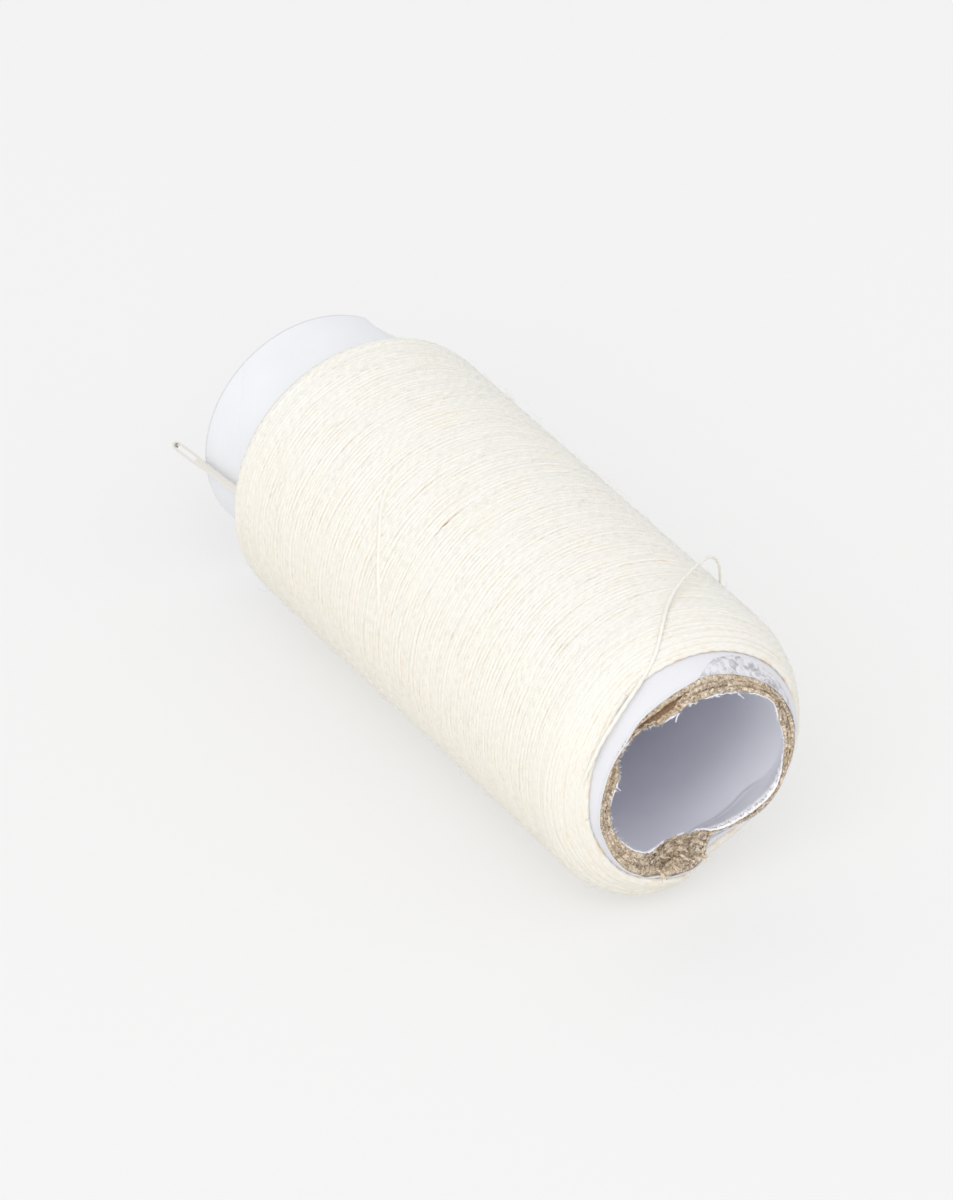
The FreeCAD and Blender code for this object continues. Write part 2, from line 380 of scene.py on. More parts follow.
# ---------------------------------------------------------------- the tube
# Five glued layers of paper and board.  One end is clean and round; the other has been handled until
# its rim rolled inwards, tore open at the bottom and was pressed in at the lower right.
AROUND = 512                  # faces round the tube
LAYERS = ["inner_liner", "inner_ply", "middle_ply", "outer_ply", "outer_wrap"]
layer_radii = [(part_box(name)[1].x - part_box(name)[0].x) / 2 / MM for name in LAYERS]
PAPER = 0.1
TUBE_RADIUS = layer_radii[-1]
EDGES = [layer_radii[0] - PAPER, *layer_radii]     # radius of every boundary between layers, bore first

# The worn rim seen end on: angle in degrees and radius where the board stops, outside and in the bore.
RIM_OUTSIDE = [
    (-170, 8.30), (-159, 8.27), (-135, 8.39), (-119, 8.11), (-108, 7.95), (-94, 7.67), (-88, 7.16),
    (-83, 5.3), (-76, 5.09), (-61, 5.57), (-43, 6.58), (-31, 6.96), (-15, 7.27), (1, 7.64), (15, 7.86),
    (40, 7.98), (65, 8.0), (90, 8.2), (100, 7.94), (113, 7.85), (130, 7.91), (144, 7.61), (155, 7.84),
    (170, 7.95),
]
RIM_MOUTH = [
    (-170, 7.29), (-158, 7.27), (-147, 7.08), (-137, 6.81), (-129, 6.47), (-126, 5.69), (-119, 4.86),
    (-108, 4.29), (-91, 4.31), (-74, 4.69), (-57, 5.13), (-44, 5.63), (-32, 6.20), (-22, 6.51), (4, 6.83),
    (22, 6.79), (36, 7.24), (46, 7.06), (66, 6.55), (81, 6.34), (92, 6.22), (108, 6.02), (122, 6.07),
    (129, 6.8), (135, 7.24), (143, 7.50), (154, 7.50), (161, 6.82), (171, 6.86), (177, 7.2),
]
RIM_WEAR = 0.25               # depth to which the rim itself has crumbled away
# How far along the tube the worn shape runs into the round one, at the outside and at the bore.
REACH_OUTSIDE = [
    (-150, 1.9), (-95, 1.9), (-84, 3.0), (-72, 4.6), (-35, 4.6), (-10, 2.6), (10, 1.9), (150, 1.9),
]
REACH_MOUTH = [
    (-150, 2.0), (-120, 2.4), (-95, 3.2), (-84, 4.3), (-72, 4.5), (-64, 4.2), (-54, 4.0), (-43, 3.9),
    (-38, 3.7), (-33, 3.2), (-25, 2.6), (-12, 2.0), (10, 1.8), (60, 1.3), (125, 1.3), (160, 1.9),
]
RIM_CURVE = 1.8               # how gently it does so: 1 would be a straight cone
STRAIGHTER = 0.75             # how much nearer to a cone the bore is where it was pressed in
# The far rim has a shallow dent.
DENT_DEPTH = 0.33
DENT_ANGLES = (33, 47, 52, 61)    # where it begins, is deepest from and to, and ends, in degrees
DENT_START = 46

# Stretches of the rim: the angle of the middle, the half width, and how squarely the stretch ends.
PRESSED_IN = (-54, 32, 4)
TORN_OPEN = (-108, 15, 4)
LINER_LIFTED = (-48, 36, 6)
LINER_CREASED = (-56, 22, 6)
PLIES_PARTED = (118, 14, 4)
PARTED_WIDTH = 0.75
PARTED_DEPTH = 3.5
# The liner's crease: angle and distance behind the rim.
CREASE = [(-84, 4.2), (-72, 4.2), (-64, 3.8), (-54, 3.6), (-43, 3.6), (-38, 3.5), (-33, 3.1), (-27, 2.4)]
CREASE_HEIGHT = 0.13
CREASE_WIDTH = 0.2
LIFT_HEIGHT = 0.3
LIFT_DEPTH = 0.6


def round_rim(table, angle, softness=2.0):
    """Value of a table of angles in degrees, at angles in radians, with its corners softened."""
    known, values = np.array(sorted(table)).T
    fine = np.arange(-180, 180, 0.5)
    sampled = np.interp(fine, known, values, period=360)
    weights = np.exp(-0.5 * (np.arange(-20, 21) * 0.5 / softness) ** 2)
    padded = np.concatenate([sampled[-20:], sampled, sampled[:20]])
    smooth = np.convolve(padded, weights / weights.sum(), mode="valid")
    return np.interp(np.degrees(angle), fine, smooth, period=360)


def blend_step(low, high, value):
    """Smooth step from 0 at low to 1 at high."""
    share = np.clip((value - low) / (high - low), 0, 1)
    return share * share * (3 - 2 * share)


def stretch_share(angle, middle, half_width, squareness):
    """1 in the middle of a stretch of the rim, falling towards 0 past its half width."""
    return np.exp(-((np.degrees(angle) - middle) / half_width) ** squareness)


def grain(points, size, shift=0.0):
    """Smooth noise between -1 and 1 at points in millimetres, with waves of about this size."""
    flat = points.reshape(-1, 3) / size + shift
    values = [noise.noise(Vector(place)) for place in flat]
    return np.array(values).reshape(points.shape[:-1])


def far_dent(angle, distance):
    """Depth of the dent in the far rim."""
    begin, full, fading, end = np.radians(DENT_ANGLES)
    sides = blend_step(begin, full, angle) * blend_step(end, fading, angle)
    return DENT_DEPTH * sides * blend_step(DENT_START, TUBE_LENGTH, distance)


def worn_radius(edge, angle, distance):
    """Radius of a boundary between layers, from the worn rim to the far one."""
    inwards = (TUBE_RADIUS - edge) / (TUBE_RADIUS - EDGES[0])
    outside = round_rim(RIM_OUTSIDE, angle)
    mouth = round_rim(RIM_MOUTH, angle)
    board_share = np.clip((edge - EDGES[1]) / (EDGES[4] - EDGES[1]), 0, 1)
    at_rim = mouth + PAPER + (outside - mouth - PAPER) * board_share
    at_rim = at_rim - PAPER * (edge < EDGES[1]) + PAPER * (edge > EDGES[4])
    reach = round_rim(REACH_OUTSIDE, angle, 5) * (1 - inwards)
    reach = reach + round_rim(REACH_MOUTH, angle, 3) * inwards
    curve = RIM_CURVE - STRAIGHTER * inwards * stretch_share(angle, *PRESSED_IN)
    fall = np.clip(1 - np.maximum(distance - RIM_WEAR, 0) / reach, 0, 1) ** curve
    return edge - (edge - at_rim) * fall - far_dent(angle, distance)


DISTANCES = np.array([
    0, 0.06, 0.15, 0.28, 0.42, 0.58, 0.76, 0.96, 1.2, 1.45, 1.7, 2.0, 2.3, 2.7, 3.2, 3.8, 4.6, 5.6, 6.8, 8.2,
    11, 16, 24, 34, 44, 48, 49.6, 50.4, 51.2, 52, 52.8, 53.6, 54.4, 55, 55.5, 55.8, 56,
]) * TUBE_LENGTH / 56
NEAR_CREASE = np.arange(2.2, 6.2, 0.2)
CREASED_DISTANCES = np.unique(np.round(np.concatenate([DISTANCES, NEAR_CREASE]), 3))
ACROSS_END = 5                # faces across the cut end of each layer


def worn_away(inner, outer, angle, raggedness, torn_back):
    """How far each place on the rim of one layer has worn or torn back."""
    spots = on_spool(0 * angle, angle, outer + 0 * angle)
    edge_noise = 0.6 * grain(spots, 0.9, inner) + 0.4 * grain(spots, 0.25, outer)
    ripped = 0.25 * stretch_share(angle, *TORN_OPEN) * (1 + grain(spots, 1.1, 3 * inner))
    worn_edge = raggedness * (1 + edge_noise) + ripped
    lifted = stretch_share(angle, *LINER_LIFTED)
    if inner == EDGES[0]:
        bites = 0.5 * np.clip(grain(spots, 2.1, 17.0) + 0.1, 0, 1)
        worn_edge = worn_edge * (1 - 0.8 * lifted) + (1 - lifted) * bites
    if inner == EDGES[1]:
        worn_edge = worn_edge + 0.35 * lifted
    if torn_back is not None:
        worn_edge = worn_edge + torn_back(angle)
    return worn_edge


def parting(edge, angle, distance):
    """How far a boundary has been squeezed inwards where the plies have parted, under the outer ply."""
    share = np.clip((edge - EDGES[1]) / (EDGES[3] - EDGES[1]), 0, 1)
    fading = np.clip(1 - distance / PARTED_DEPTH, 0, 1)
    return PARTED_WIDTH * stretch_share(angle, *PLIES_PARTED) * fading * share


def liner_lift(angle, distance):
    """How far the liner stands off the board at the worn rim, less the ridge of its crease."""
    known, places = np.array(CREASE).T
    crease = np.interp(np.degrees(angle), known, places)
    ridge = CREASE_HEIGHT * np.exp(-((distance - crease) / CREASE_WIDTH) ** 2)
    flare = LIFT_HEIGHT * stretch_share(angle, *LINER_LIFTED) * np.clip(1 - distance / LIFT_DEPTH, 0, 1) ** 2
    return flare - ridge * stretch_share(angle, *LINER_CREASED)


def tube_layer(name, inner, outer, raggedness, torn_back=None):
    """One layer as a closed shell: its outside, its far end, its bore side and its ragged worn end."""
    angle = np.linspace(-math.pi, math.pi, AROUND + 1)[:, None]
    is_liner = inner == EDGES[0]
    places = CREASED_DISTANCES if is_liner else DISTANCES
    worn_edge = worn_away(inner, outer, angle, raggedness, torn_back)
    rim_distance = worn_edge + places[None, :] * (TUBE_LENGTH - worn_edge) / TUBE_LENGTH
    outside = worn_radius(outer, angle, rim_distance)
    inside = worn_radius(inner, angle, rim_distance)
    if outer < EDGES[4]:
        outside = outside - parting(outer, angle, rim_distance)
        inside = inside - parting(inner, angle, rim_distance)
    if is_liner:
        outside = outside + liner_lift(angle, rim_distance)
        inside = inside + liner_lift(angle, rim_distance)
    share = np.linspace(0, 1, ACROSS_END + 1)[None, 1:-1]
    far_end = outside[:, -1:] + (inside[:, -1:] - outside[:, -1:]) * share
    worn_end = inside[:, :1] + (outside[:, :1] - inside[:, :1]) * share
    bulge = 0.36 * share * (1 - share)
    radius = np.concatenate([outside, far_end, inside[:, ::-1], worn_end, outside[:, :1]], axis=1)
    far_distance = TUBE_LENGTH + 0 * far_end
    distance = np.concatenate(
        [rim_distance, far_distance, rim_distance[:, ::-1], worn_edge - bulge, rim_distance[:, :1]], axis=1
    )
    # Broken fibres roughen the rim, and where it is torn open the plies have curled.
    spots = on_spool(distance, angle, radius)
    near_rim = np.clip(1 - distance / 1.2, 0, 1)
    rough = grain(spots, 0.22, 3.1) + 0.6 * grain(spots, 0.5, 7.7)
    curled = 0.32 * stretch_share(angle, *TORN_OPEN) * grain(spots, 0.75, 5 * inner) * near_rim
    radius = radius + raggedness * 0.35 * rough * near_rim + curled
    distance = distance + raggedness * 0.6 * grain(spots, 0.18, 5.5) * near_rim + 0.7 * curled
    points = on_spool(np.clip(distance, 0, TUBE_LENGTH), angle, radius)
    points[-1] = points[0]
    points[:, -1] = points[:, 0]
    # The faces between plies are marked for a darker brown: the glued board's own colour and painted shade
    # where the plies have parted.
    on_face = np.arange(len(places)) > 0
    cut_end = np.zeros(ACROSS_END - 1)
    glued_shade = np.concatenate([on_face, cut_end, on_face[::-1], cut_end, [0]])
    return rolled_grid(name, points, {"glued_face_shade": glued_shade[None, :]})


# Kraft board, rolled from brown recycled pulp.  Its cut edge shows short tangled fibres in light and
# dark browns, with no gloss.
PULP_SIZE = 0.24
CLOUD_SIZE = 1.6
PULP_RELIEF = 0.12
kraft_board, tree = new_material("brown_kraft_board")
place = add_node(tree, "ShaderNodeTexCoord")
pulp = add_node(
    tree, "ShaderNodeTexNoise",
    {"Vector": (place, "Object"), "Scale": 1 / (PULP_SIZE * MM), "Detail": 4.0, "Roughness": 0.7,
     "Distortion": 1.0},
)
cloud = add_node(
    tree, "ShaderNodeTexNoise",
    {"Vector": (place, "Object"), "Scale": 1 / (CLOUD_SIZE * MM), "Detail": 3.0},
)
pulp_range = add_node(
    tree, "ShaderNodeMapRange", {"Value": (pulp, "Fac"), "From Min": 0.38, "From Max": 0.62}
)
pulp_colour = add_node(
    tree, "ShaderNodeMix", {0: (pulp_range, "Result"), 6: srgb("#856a4b"), 7: srgb("#fcefdb")},
    data_type="RGBA",
)
cloud_range = add_node(
    tree, "ShaderNodeMapRange",
    {"Value": (cloud, "Fac"), "From Min": 0.4, "From Max": 0.7, "To Max": 0.45},
)
board_colour = add_node(
    tree, "ShaderNodeMix", {0: (cloud_range, "Result"), 6: (pulp_colour, 2), 7: srgb("#dbbf9b")},
    data_type="RGBA",
)
# The faces that were glued together are a darker golden brown, their own colour with painted shade added,
# and show where the plies have parted.
glued_face_shade = add_node(tree, "ShaderNodeAttribute", attribute_name="glued_face_shade")
glued_shade_share = add_node(tree, "ShaderNodeMapRange", {"Value": (glued_face_shade, "Fac"), "To Max": 0.8})
ply_colour = add_node(
    tree, "ShaderNodeMix", {0: (glued_shade_share, "Result"), 6: (board_colour, 2), 7: srgb("#7d5730")},
    data_type="RGBA",
)
pulp_bump = add_node(
    tree, "ShaderNodeBump", {"Height": (pulp, "Fac"), "Strength": 1.0, "Distance": PULP_RELIEF * MM}
)
board_finish = add_node(
    tree, "ShaderNodeBsdfPrincipled",
    {"Base Color": (ply_colour, 2), "Normal": (pulp_bump, "Normal"), "Roughness": 0.9,
     "Specular IOR Level": 0.2, "Sheen Weight": 0.2},
)
add_node(tree, "ShaderNodeOutputMaterial", {"Surface": (board_finish, "BSDF")})


PAPER_FIBRE = 0.12
PAPER_RELIEF = 0.02
# Painted shade: the liner is greyer deeper in the bore and lighter at its mouth.  The wrap turns greyer
# towards its worn end.
CHANGE_FROM = -19             # towards the worn end, between these two places along the spool, the papers change to another white
CHANGE_TO = -26               # light and handling have given the papers another white


def white_paper(name, light, dark, mottle_size, worn_end_colour):
    """Bleached machine-finished paper: a faint cloudiness from the pulp, and hardly any gloss."""
    paper, tree = new_material(name)
    place = add_node(tree, "ShaderNodeTexCoord")
    mottle = add_node(
        tree, "ShaderNodeTexNoise",
        {"Vector": (place, "Object"), "Scale": 1 / (mottle_size * MM), "Detail": 4.0},
    )
    fibre = add_node(
        tree, "ShaderNodeTexNoise",
        {"Vector": (place, "Object"), "Scale": 1 / (PAPER_FIBRE * MM), "Detail": 2.0},
    )
    colour = add_node(
        tree, "ShaderNodeMix", {0: (mottle, "Fac"), 6: srgb(dark), 7: srgb(light)}, data_type="RGBA"
    )
    along = add_node(tree, "ShaderNodeSeparateXYZ", {"Vector": (place, "Object")})
    # Towards the worn end the colour turns to the one given for that end: in the liner this is painted
    # shade.
    toward_worn_end = add_node(
        tree, "ShaderNodeMapRange",
        {"Value": (along, "Y"), "From Min": CHANGE_FROM * MM, "From Max": CHANGE_TO * MM, "To Max": 0.85},
    )
    changed = add_node(
        tree, "ShaderNodeMix", {0: (toward_worn_end, "Result"), 6: (colour, 2), 7: srgb(worn_end_colour)}, data_type="RGBA"
    )
    bump = add_node(
        tree, "ShaderNodeBump",
        {"Height": (fibre, "Fac"), "Strength": 0.25, "Distance": PAPER_RELIEF * MM},
    )
    finish = add_node(
        tree, "ShaderNodeBsdfPrincipled",
        {"Base Color": (changed, 2), "Normal": (bump, "Normal"), "Roughness": 0.62,
         "Specular IOR Level": 0.35},
    )
    add_node(tree, "ShaderNodeOutputMaterial", {"Surface": (finish, "BSDF")})
    return paper


wrap_paper = white_paper("white_wrap_paper", "#ebecef", "#e4e5e9", 3.0, "#dedee3")
# The liner is painted greyer deeper in the bore than at its mouth: painted shade.
liner_paper = white_paper("bluish_liner_paper", "#e9e9f3", "#dfdfea", 4.0, "#fafaff")


def torn_from_wrap(angle):
    """How far the wrap has torn back from the rim: at the top, and beside the rip at the bottom."""
    degrees = np.degrees(angle)
    top = np.interp(degrees, [8, 20, 35, 50, 68, 80, 93], [0, 0.35, 0.9, 1.25, 1.55, 1.2, 0])
    return top + np.interp(degrees, [-87, -84, -66, -45, -25], [0, 0.9, 0.8, 0.35, 0])


finishes = [liner_paper, kraft_board, kraft_board, kraft_board, wrap_paper]
ragged = [0.14, 0.16, 0.20, 0.12, 0.05]
for number, name in enumerate(LAYERS):
    layer = tube_layer(
        "rolled_" + name, EDGES[number], EDGES[number + 1], ragged[number],
        torn_back=torn_from_wrap if name == "outer_wrap" else None,
    )
    layer.data.materials.append(finishes[number])
    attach(layer, "spool")
    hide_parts(name)

# The wrap's own edge shows as a faint raised line that winds round the bare end.
# Its places are distances behind the worn rim and angles.
SEAM = [
    (55.95, 128), (55.6, 131), (54.9, 135), (54.1, 139), (53.3, 145), (52.6, 151), (51.6, 161), (50.6, 172),
    (49.4, 185),
]
SEAM_WIDTH = 0.2
SEAM_HEIGHT = 0.035
seam_distance, seam_angle = np.array(SEAM).T
fine = np.linspace(0, len(SEAM) - 1, 120)
seam_distance = np.interp(fine, np.arange(len(SEAM)), seam_distance)[:, None]
seam_angle = np.radians(np.interp(fine, np.arange(len(SEAM)), seam_angle))[:, None]
round_section = np.linspace(0, 2 * math.pi, 9)[None, :]
points = on_spool(
    seam_distance + SEAM_WIDTH / 2 * np.cos(round_section), seam_angle + 0 * round_section,
    TUBE_RADIUS + SEAM_HEIGHT * np.sin(round_section),
)
points[:, -1] = points[:, 0]
seam = rolled_grid("wrap_seam", points, capped=True)
seam.data.materials.append(wrap_paper)
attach(seam, "spool")

# ---------------------------------------------------------------- torn paper and board at the worn rim
# Where the wrap has torn away it leaves its own rough pulp on the board, and every torn edge of
# paper and board stands up in short fibres.
PULP_THICKNESS = 0.085
UNDER_WRAP = 0.3              # how far the pulp goes on beneath the edge of the wrap
ABOVE_BOARD = 0.02
PULP_ROWS = 22                # places along the tube on its upper side


def torn_pulp(name, first, last):
    """A rough skin of paper pulp on the board between two angles, from the rim to under the wrap."""
    angle = np.linspace(math.radians(first), math.radians(last), 220)[:, None]
    depth = torn_from_wrap(angle) + UNDER_WRAP
    share = np.linspace(0, 1, PULP_ROWS)[None, :]
    back = share[:, ::-3]
    distance = 0.03 + (depth - 0.03) * np.concatenate([share, back, share[:, :1]], axis=1)
    above = np.concatenate([np.ones(PULP_ROWS), np.zeros(back.size), np.ones(1)])[None, :]
    spots = on_spool(distance, angle, TUBE_RADIUS)
    relief = 0.5 + 0.5 * grain(spots, 0.45, 2.0) + 0.45 * grain(spots, 0.16, 9.0)
    radius = worn_radius(EDGES[4], angle, distance) + ABOVE_BOARD + above * PULP_THICKNESS * relief
    distance = distance + 0.06 * grain(spots, 0.3, 4.0) * (1 - distance / depth)
    points = on_spool(np.maximum(distance, 0), angle, radius)
    points[:, -1] = points[:, 0]
    return rolled_grid(name, points, capped=True)


# Torn paper pulp: greyish white felted fibres, painted darker in the low places of their relief:
# painted shade in the cracks where the layer has split.
FELT_SIZE = 0.65
FELT_RELIEF = 0.1
paper_pulp, tree = new_material("torn_paper_pulp")
place = add_node(tree, "ShaderNodeTexCoord")
felt = add_node(
    tree, "ShaderNodeTexNoise",
    {"Vector": (place, "Object"), "Scale": 1 / (FELT_SIZE * MM), "Detail": 5.0, "Roughness": 0.62,
     "Distortion": 0.8},
)
crack_shade = add_node(tree, "ShaderNodeMapRange", {"Value": (felt, "Fac"), "From Min": 0.36, "From Max": 0.56})
felt_colour = add_node(
    tree, "ShaderNodeMix", {0: (crack_shade, "Result"), 6: srgb("#adadb2"), 7: srgb("#e2e2e7")},
    data_type="RGBA",
)
felt_bump = add_node(
    tree, "ShaderNodeBump", {"Height": (felt, "Fac"), "Strength": 1.0, "Distance": FELT_RELIEF * MM}
)
pulp_finish = add_node(
    tree, "ShaderNodeBsdfPrincipled",
    {"Base Color": (felt_colour, 2), "Normal": (felt_bump, "Normal"), "Roughness": 0.95,
     "Specular IOR Level": 0.1},
)
add_node(tree, "ShaderNodeOutputMaterial", {"Surface": (pulp_finish, "BSDF")})

for name, first, last in [("torn_pulp_top", 6, 92), ("torn_pulp_bottom", -86, -24)]:
    patch = torn_pulp(name, first, last)
    patch.data.materials.append(paper_pulp)
    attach(patch, "spool")


def short_fibres(name, lines, thickness):
    """One mesh of short bent fibres, each a fine tube along a few points in millimetres."""
    bundle = bpy.data.curves.new(name, "CURVE")
    bundle.dimensions = "3D"
    bundle.bevel_depth = thickness / 2 * MM
    bundle.bevel_resolution = 0
    bundle.use_fill_caps = True
    for points in lines:
        fibre = bundle.splines.new("POLY")
        fibre.points.add(len(points) - 1)
        for number, (control, point) in enumerate(zip(fibre.points, points)):
            control.co = (*(Vector(point) * MM), 1)
            control.radius = 1.0 - 0.6 * number / (len(points) - 1)
    piece = bpy.data.objects.new(name, bundle)
    bpy.context.scene.collection.objects.link(piece)
    bpy.ops.object.select_all(action="DESELECT")
    piece.select_set(True)
    bpy.context.view_layer.objects.active = piece
    bpy.ops.object.convert(target="MESH")
    return bpy.context.object


def rim_point(angle, share, behind):
    """A point on the cut face of the worn rim: share 0 at the bore and 1 at the outside."""
    inner = worn_radius(EDGES[0], np.array([angle]), np.array([behind]))[0]
    outer = worn_radius(EDGES[4], np.array([angle]), np.array([behind]))[0]
    return on_spool(behind, angle, inner + (outer - inner) * share)


dice = random.Random(5)
FIBRE_ROOT = 0.12             # how far behind the rim the fibres and the curled flakes start
FLAKE_ROOT = 0.15
FLAKE_THICKNESS = 0.1
FLAKE_ROUGHNESS = 0.05


def fray(count, share_range, length_range, lift, ranges):
    """Lines of short fibres that start on the rim's cut face and lie over it in random directions."""
    lines = []
    for _ in range(count):
        low, high = dice.choice(ranges)
        angle = math.radians(dice.uniform(low, high))
        start = np.array(rim_point(angle, dice.uniform(*share_range), FIBRE_ROOT))
        heading = np.array([dice.gauss(0, 1), 0, dice.gauss(0, 1)])
        heading[1] = -abs(dice.gauss(0, lift))
        heading *= dice.uniform(*length_range) / np.linalg.norm(heading)
        side = np.cross(heading, [0, 1, 0]) * dice.uniform(-0.5, 0.5)
        lines.append([start + heading * part + side * part * part for part in (0, 0.35, 0.7, 1.0)])
    return lines


def curled_flakes(name, count, length_range, width_range, ranges, share_range, material):
    """Torn strips of a ply that curl up from the rim's cut face, each a thin closed shell."""
    out_of_rim = np.array([0, -1, 0])
    flakes = []
    for number in range(count):
        low, high = dice.choice(ranges)
        angle = math.radians(dice.uniform(low, high))
        root = np.array(rim_point(angle, dice.uniform(*share_range), FLAKE_ROOT))
        along = np.array([-math.sin(angle), 0, math.cos(angle)]) * dice.choice((-1, 1))
        inwards = -np.array([math.cos(angle), 0, math.sin(angle)])
        lean = dice.uniform(-0.7, 0.7)
        along, inwards = (
            along * math.cos(lean) + inwards * math.sin(lean),
            inwards * math.cos(lean) - along * math.sin(lean),
        )
        length = dice.uniform(*length_range)
        width = dice.uniform(*width_range)
        curl = dice.uniform(0.5, 1.6)
        stretch = np.linspace(0, 1, 9)[:, None]
        taper = 1 - 0.55 * stretch + 0.12 * np.sin(9 * stretch + number)
        middle = root + length * (
            along * np.sin(curl * stretch) / curl + out_of_rim * (1 - np.cos(curl * stretch)) / curl
        )
        bent = along * np.cos(curl * stretch) + out_of_rim * np.sin(curl * stretch)
        face = np.cross(bent, np.broadcast_to(inwards, bent.shape))
        round_section = np.linspace(0, 2 * math.pi, 9)
        across = np.cos(round_section)[None, :, None] * inwards * (width / 2 * taper)[..., None]
        thick = np.sin(round_section)[None, :, None] * face[:, None] * FLAKE_THICKNESS / 2
        points = middle[:, None] + across + thick
        points += FLAKE_ROUGHNESS * grain(points, 0.25, number)[..., None]
        points[:, -1] = points[:, 0]
        flakes.append(rolled_grid(f"{name}_{number}", points, capped=True))
    bpy.ops.object.select_all(action="DESELECT")
    for flake in flakes:
        flake.select_set(True)
    bpy.context.view_layer.objects.active = flakes[0]
    bpy.ops.object.join()
    piece = bpy.context.object
    piece.name = name
    piece.data.materials.append(material)
    return piece


# Each call gives a number of pieces, the ranges of their lengths and widths, the stretches of the rim
# that they stand on in degrees, and their places across it from the bore.
lump_flakes = curled_flakes(
    "torn_board_curls", 34, (0.5, 1.4), (0.25, 0.6), [(-128, -93)], (0.1, 0.85), kraft_board
)
split_flakes = curled_flakes(
    "split_board_curls", 7, (0.4, 0.9), (0.2, 0.4), [(60, 100)], (0.15, 0.45), kraft_board
)
liner_flakes = curled_flakes(
    "torn_liner_slivers", 12, (0.3, 0.7), (0.1, 0.22), [(-60, 20), (150, 178), (60, 110)], (0.0, 0.05),
    wrap_paper,
)
for piece, finish in [
    (lump_flakes, "kraft_board"), (split_flakes, "kraft_board"), (liner_flakes, "liner_paper"),
]:
    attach(piece, "spool")

# Each group of fibres: number, places across the rim, lengths, lift and stretches of the rim.
board_fray = short_fibres(
    "board_fibres",
    fray(850, (0.12, 0.75), (0.12, 0.36), 0.15, [(-180, 103), (-180, 103), (138, 180)])
    + fray(25, (0.12, 0.3), (0.15, 0.3), 0.15, [(103, 138)])
    + fray(300, (0.08, 0.8), (0.25, 0.7), 0.3, [(-130, -94)]),
    0.06,
)
board_fray.data.materials.append(kraft_board)
paper_fray = short_fibres(
    "paper_fibres",
    fray(260, (0.0, 0.07), (0.08, 0.28), 0.3, [(-180, 180)])
    + fray(60, (0.97, 1.03), (0.1, 0.3), 0.3, [(-88, -40), (10, 90)]),
    0.05,
)
paper_fray.data.materials.append(wrap_paper)
for piece, finish in [(board_fray, "kraft_board"), (paper_fray, "liner_paper")]:
    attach(piece, "spool")

# ---------------------------------------------------------------- the winding
# About twenty-one metres of the thread, laid on in crossing traverses from end to end of the tube.
# Each traverse lies on the one before, and the turns crowd a little where they turn back at the ends.
TRAVERSES = 12
TURNS = 26 + 1 / TRAVERSES    # in each traverse; the odd part lays each turn beside the ones below
END_TURNS = 5                 # turns over which the pace slows towards each end
END_PACE = 0.13               # pace at the very end, as a share of the pace along the middle
thread_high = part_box("wound_thread")[1]
PACK_RADIUS = thread_high.x / MM
PACK_END = thread_high.y / MM - WORN_RIM
THREAD_DIAMETER = 0.44
BEDDED = 0.008                # how much further out each traverse lies than the one before
FAR_SHOULDER = 1.8            # distance over which the winding falls to the tube at the far end
NEAR_ROUNDING = 0.8           # how round each shoulder is: 1 would be a quarter of a sine wave
FAR_ROUNDING = 0.85
LEAST_ABOVE_WRAP = 0.45       # nearest that the middle of a turn comes to the wrap, in diameters
LEAST_ABOVE_TABLE = 0.58      # and to the table
# How the turns stray: steps from one bend to the next, and size.
STRAYING_ALONG = (60, 0.045)
TREMBLING_ALONG = (14, 0.012)
STRAYING_OUTWARDS = (40, 0.012)
SLIDING_OUTWARDS = (180, 1.0)
SLIDING_HEIGHT = 0.07         # how far the turns of the worn end's shoulder stand off it

rng = np.random.default_rng(11)

# The first turns seen from the worn end: angle in degrees and distance behind the rim.
FIRST_TURNS = [
    (-160, 0.78), (-130, 0.5), (-110, 0.4), (-100, 0.8), (-90, 1.7), (-80, 2.4), (-60, 2.7), (-45, 2.7),
    (-30, 2.7), (5, 2.6), (18, 2.4), (34, 2.1), (52, 1.9), (60, 1.85), (116, 1.85), (129, 1.63), (145, 1.2),
    (158, 1.08), (177, 0.92),
]
# Over what distance the winding rises from there to its full size.  It is long where turns have slid.
NEAR_SHOULDER = [
    (-160, 2.4), (-125, 3.1), (-105, 3.7), (-90, 4.2), (-75, 4.6), (-60, 4.6), (45, 4.6), (80, 4.0),
    (110, 3.3), (140, 2.6), (170, 2.2),
]


def winding_start(angle):
    """Distance from the worn rim to the first turns."""
    return round_rim(FIRST_TURNS, angle, 5)


def shoulder_radius(distance, angle, top):
    """Radius of the winding's surface, which rises from the tube in a rounded shoulder at each end."""
    start = winding_start(angle)
    foot = worn_radius(TUBE_RADIUS, angle, start) + 0.4 * THREAD_DIAMETER
    rising = np.clip((distance - start) / round_rim(NEAR_SHOULDER, angle, 5), 0, 1)
    falling = np.clip((PACK_END - THREAD_DIAMETER / 2 - distance) / FAR_SHOULDER, 0, 1)
    near = foot + (top - foot) * np.sin(math.pi / 2 * rising) ** NEAR_ROUNDING
    far_foot = TUBE_RADIUS + THREAD_DIAMETER / 2
    far = far_foot + (top - far_foot) * np.sin(math.pi / 2 * falling) ** FAR_ROUNDING
    return np.minimum(near, far)


def wander(count, spacing, size):
    """A smooth random walk: one value every so many steps, joined by cosine steps."""
    knots = rng.normal(0, size, count // spacing + 2)
    places = np.arange(count) / spacing
    low = places.astype(int)
    share = 0.5 - 0.5 * np.cos(math.pi * (places - low))
    return knots[low] * (1 - share) + knots[low + 1] * share


